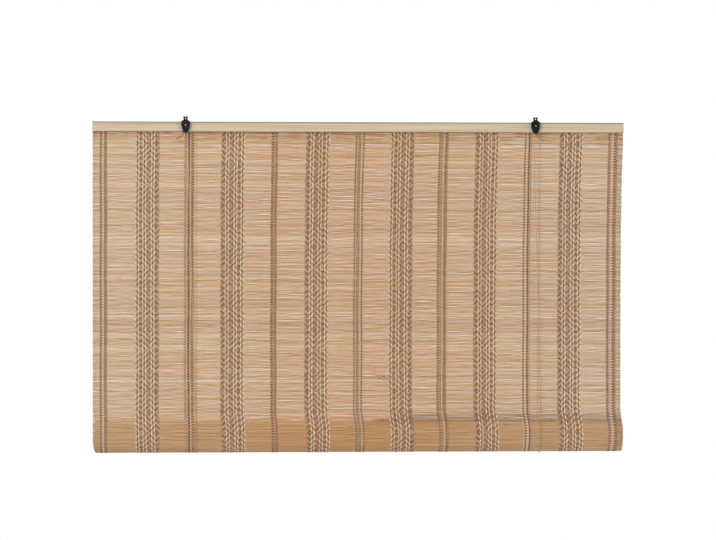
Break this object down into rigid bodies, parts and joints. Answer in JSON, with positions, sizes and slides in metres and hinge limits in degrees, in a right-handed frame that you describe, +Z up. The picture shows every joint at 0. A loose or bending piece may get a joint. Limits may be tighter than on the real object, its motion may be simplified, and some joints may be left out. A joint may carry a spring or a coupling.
{
  "type": "bamboo roll up blind",
  "caption": "Roll up blind of woven bamboo slats on a wooden head rail, lower end rolled up behind and carried by two lift cords over pulleys.",
  "frame": {"origin": "midway between the two hanging holes, in the plane of the head rail's front face", "axes": "+X along the head rail, -Y towards the room, +Z up"},
  "size_m": [1.2, 0.1005, 0.7623],
  "materials": {
    "bamboo": "matt split bamboo with a fine grain, light straw to tan",
    "rail_wood": "pale sanded softwood",
    "warp_thread": "matt cotton thread in browns, mauve and beige",
    "lift_cord": "twisted tan cord",
    "black_steel": "black japanned steel, slightly glossy",
    "bright_steel": "bright zinc plated steel"
  },
  "bodies": {
    "head": {"head_rail": "rail_wood", "rear_batten": "rail_wood", "batten_nails": "bright_steel", "mat_slats": "bamboo", "warp_band_01": "warp_thread", "warp_band_02": "warp_thread", "warp_band_03": "warp_thread", "warp_band_04": "warp_thread", "warp_band_05": "warp_thread", "warp_band_06": "warp_thread", "warp_band_07": "warp_thread", "warp_band_08": "warp_thread", "warp_band_09": "warp_thread", "warp_band_10": "warp_thread", "warp_band_11": "warp_thread", "warp_band_12": "warp_thread", "warp_band_13": "warp_thread", "pulley_back_plate_left": "black_steel", "pulley_front_cheek_left": "black_steel", "pulley_bolt_left": "bright_steel", "pulley_guide_rivet_left": "black_steel", "lift_cord_top_left": "lift_cord", "lift_cord_tail_left": "lift_cord", "lift_cord_front_left": "lift_cord", "lift_cord_rear_left": "lift_cord", "lift_cord_tie_left": "lift_cord", "rear_screw_eye_left": "bright_steel", "pulley_back_plate_right": "black_steel", "pulley_front_cheek_right": "black_steel", "pulley_bolt_right": "bright_steel", "pulley_guide_rivet_right": "black_steel", "lift_cord_top_right": "lift_cord", "lift_cord_tail_right": "lift_cord", "lift_cord_front_right": "lift_cord", "lift_cord_rear_right": "lift_cord", "lift_cord_tie_right": "lift_cord", "rear_screw_eye_right": "bright_steel"},
    "slings": {"lift_cord_sling_left": "lift_cord", "lift_cord_sling_right": "lift_cord"},
    "roll": {"rolled_mat": "bamboo", "bottom_rod": "rail_wood"},
    "sheave_left": {"pulley_sheave_left": "black_steel"},
    "sheave_right": {"pulley_sheave_right": "black_steel"}
  },
  "joints": [
    {"name": "lift", "type": "slide", "parent": "head", "child": "slings", "axis": [0, 0, 1], "range_m": [0, 0.56], "deforming": ["mat_slats", "warp_band_01", "warp_band_02", "warp_band_03", "warp_band_04", "warp_band_05", "warp_band_06", "warp_band_07", "warp_band_08", "warp_band_09", "warp_band_10", "warp_band_11", "warp_band_12", "warp_band_13", "lift_cord_front_left", "lift_cord_front_right", "lift_cord_rear_left", "lift_cord_rear_right"]},
    {"name": "roll_turn", "type": "hinge", "parent": "slings", "child": "roll", "pos_m": [0, 0.05, -0.717], "axis": [1, 0, 0], "range_deg": [0, 721]},
    {"name": "sheave_left_spin", "type": "hinge", "parent": "head", "child": "sheave_left", "pos_m": [-0.395, -0.0042, -0.015], "axis": [0, 1, 0], "continuous": true},
    {"name": "sheave_right_spin", "type": "hinge", "parent": "head", "child": "sheave_right", "pos_m": [0.395, -0.0042, -0.015], "axis": [0, 1, 0], "continuous": true}
  ],
  "couplings": [
    {"joint": "roll_turn", "follows": "lift", "rad_per_m": 22.44},
    {"joint": "sheave_left_spin", "follows": "lift", "rad_per_m": -476.19},
    {"joint": "sheave_right_spin", "follows": "lift", "rad_per_m": 476.19}
  ]
}
